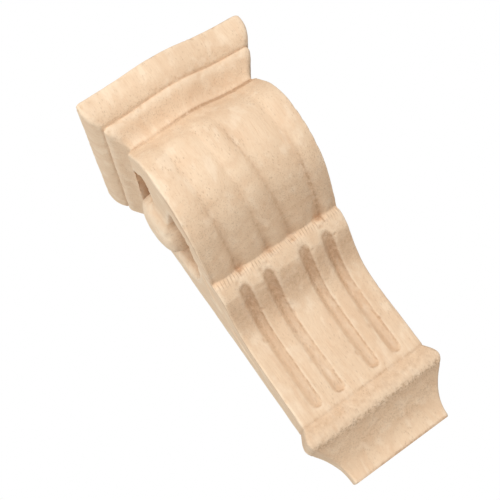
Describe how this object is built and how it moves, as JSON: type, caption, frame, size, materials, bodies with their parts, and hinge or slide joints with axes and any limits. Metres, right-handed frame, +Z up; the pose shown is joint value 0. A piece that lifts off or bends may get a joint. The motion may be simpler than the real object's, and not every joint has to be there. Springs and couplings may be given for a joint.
{
  "type": "carved wood corbel",
  "caption": "Carved wooden corbel with a bow-fronted moulded cap, a reeded scroll with side volutes, a fluted shaft and a tapered moulded foot; flat back for a wall.",
  "frame": {"origin": "middle of the flat back, on the wall plane, at half the height", "axes": "+Z up, +Y out of the back into the wall, the carved front faces -Y, +X to the right of someone facing the front"},
  "size_m": [0.0856, 0.0831, 0.19],
  "materials": {
    "wood": "bare sanded pale hardwood, unfinished"
  },
  "bodies": {
    "root": {"corbel": "wood"}
  },
  "joints": []
}
